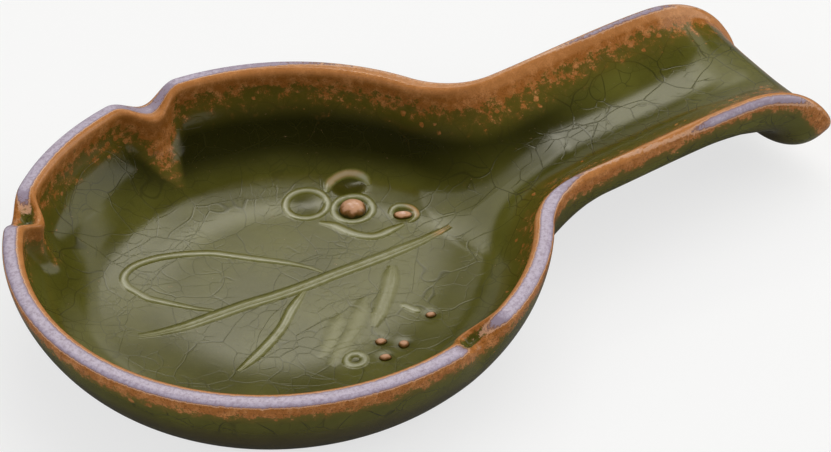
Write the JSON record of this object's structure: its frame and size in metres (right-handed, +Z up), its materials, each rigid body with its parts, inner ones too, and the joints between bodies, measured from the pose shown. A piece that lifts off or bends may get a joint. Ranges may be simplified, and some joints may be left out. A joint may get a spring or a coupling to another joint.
{
  "type": "spoon rest",
  "caption": "Glazed stoneware spoon rest: a round notched bowl with a raised sprig on its floor and a trough handle that curls down at its tip.",
  "frame": {"origin": "middle of the bowl, on the plane of the table that its foot ring stands on", "axes": "+X along the handle towards its tip, +Z up, +Y to the left of the handle seen from above"},
  "size_m": [0.2162, 0.1328, 0.033],
  "materials": {
    "glaze": "glossy dark olive crackle glaze that breaks rust on the walls and pale lavender on the rim",
    "relief_glaze": "the same olive glaze, thinner and lighter on the raised ridges",
    "berry_glaze": "the same glaze broken to rust orange on the round berries",
    "bare_clay": "unglazed buff stoneware"
  },
  "bodies": {
    "root": {"bowl": "glaze", "handle": "glaze", "foot_ring": "bare_clay", "stem": "relief_glaze", "leaf_edge": "relief_glaze", "side_vein": "relief_glaze", "broad_fold": "relief_glaze", "inner_fold": "relief_glaze", "outer_fold": "relief_glaze", "ring_petal": "relief_glaze", "upper_petal": "relief_glaze", "berry_ring": "relief_glaze", "bud_stalk": "relief_glaze", "bud_cup": "relief_glaze", "side_stalk": "relief_glaze", "loop_leaf": "relief_glaze", "large_berry": "berry_glaze", "bud": "berry_glaze", "side_bud": "berry_glaze", "small_berry_1": "berry_glaze", "small_berry_2": "berry_glaze", "small_berry_3": "berry_glaze"}
  },
  "joints": []
}
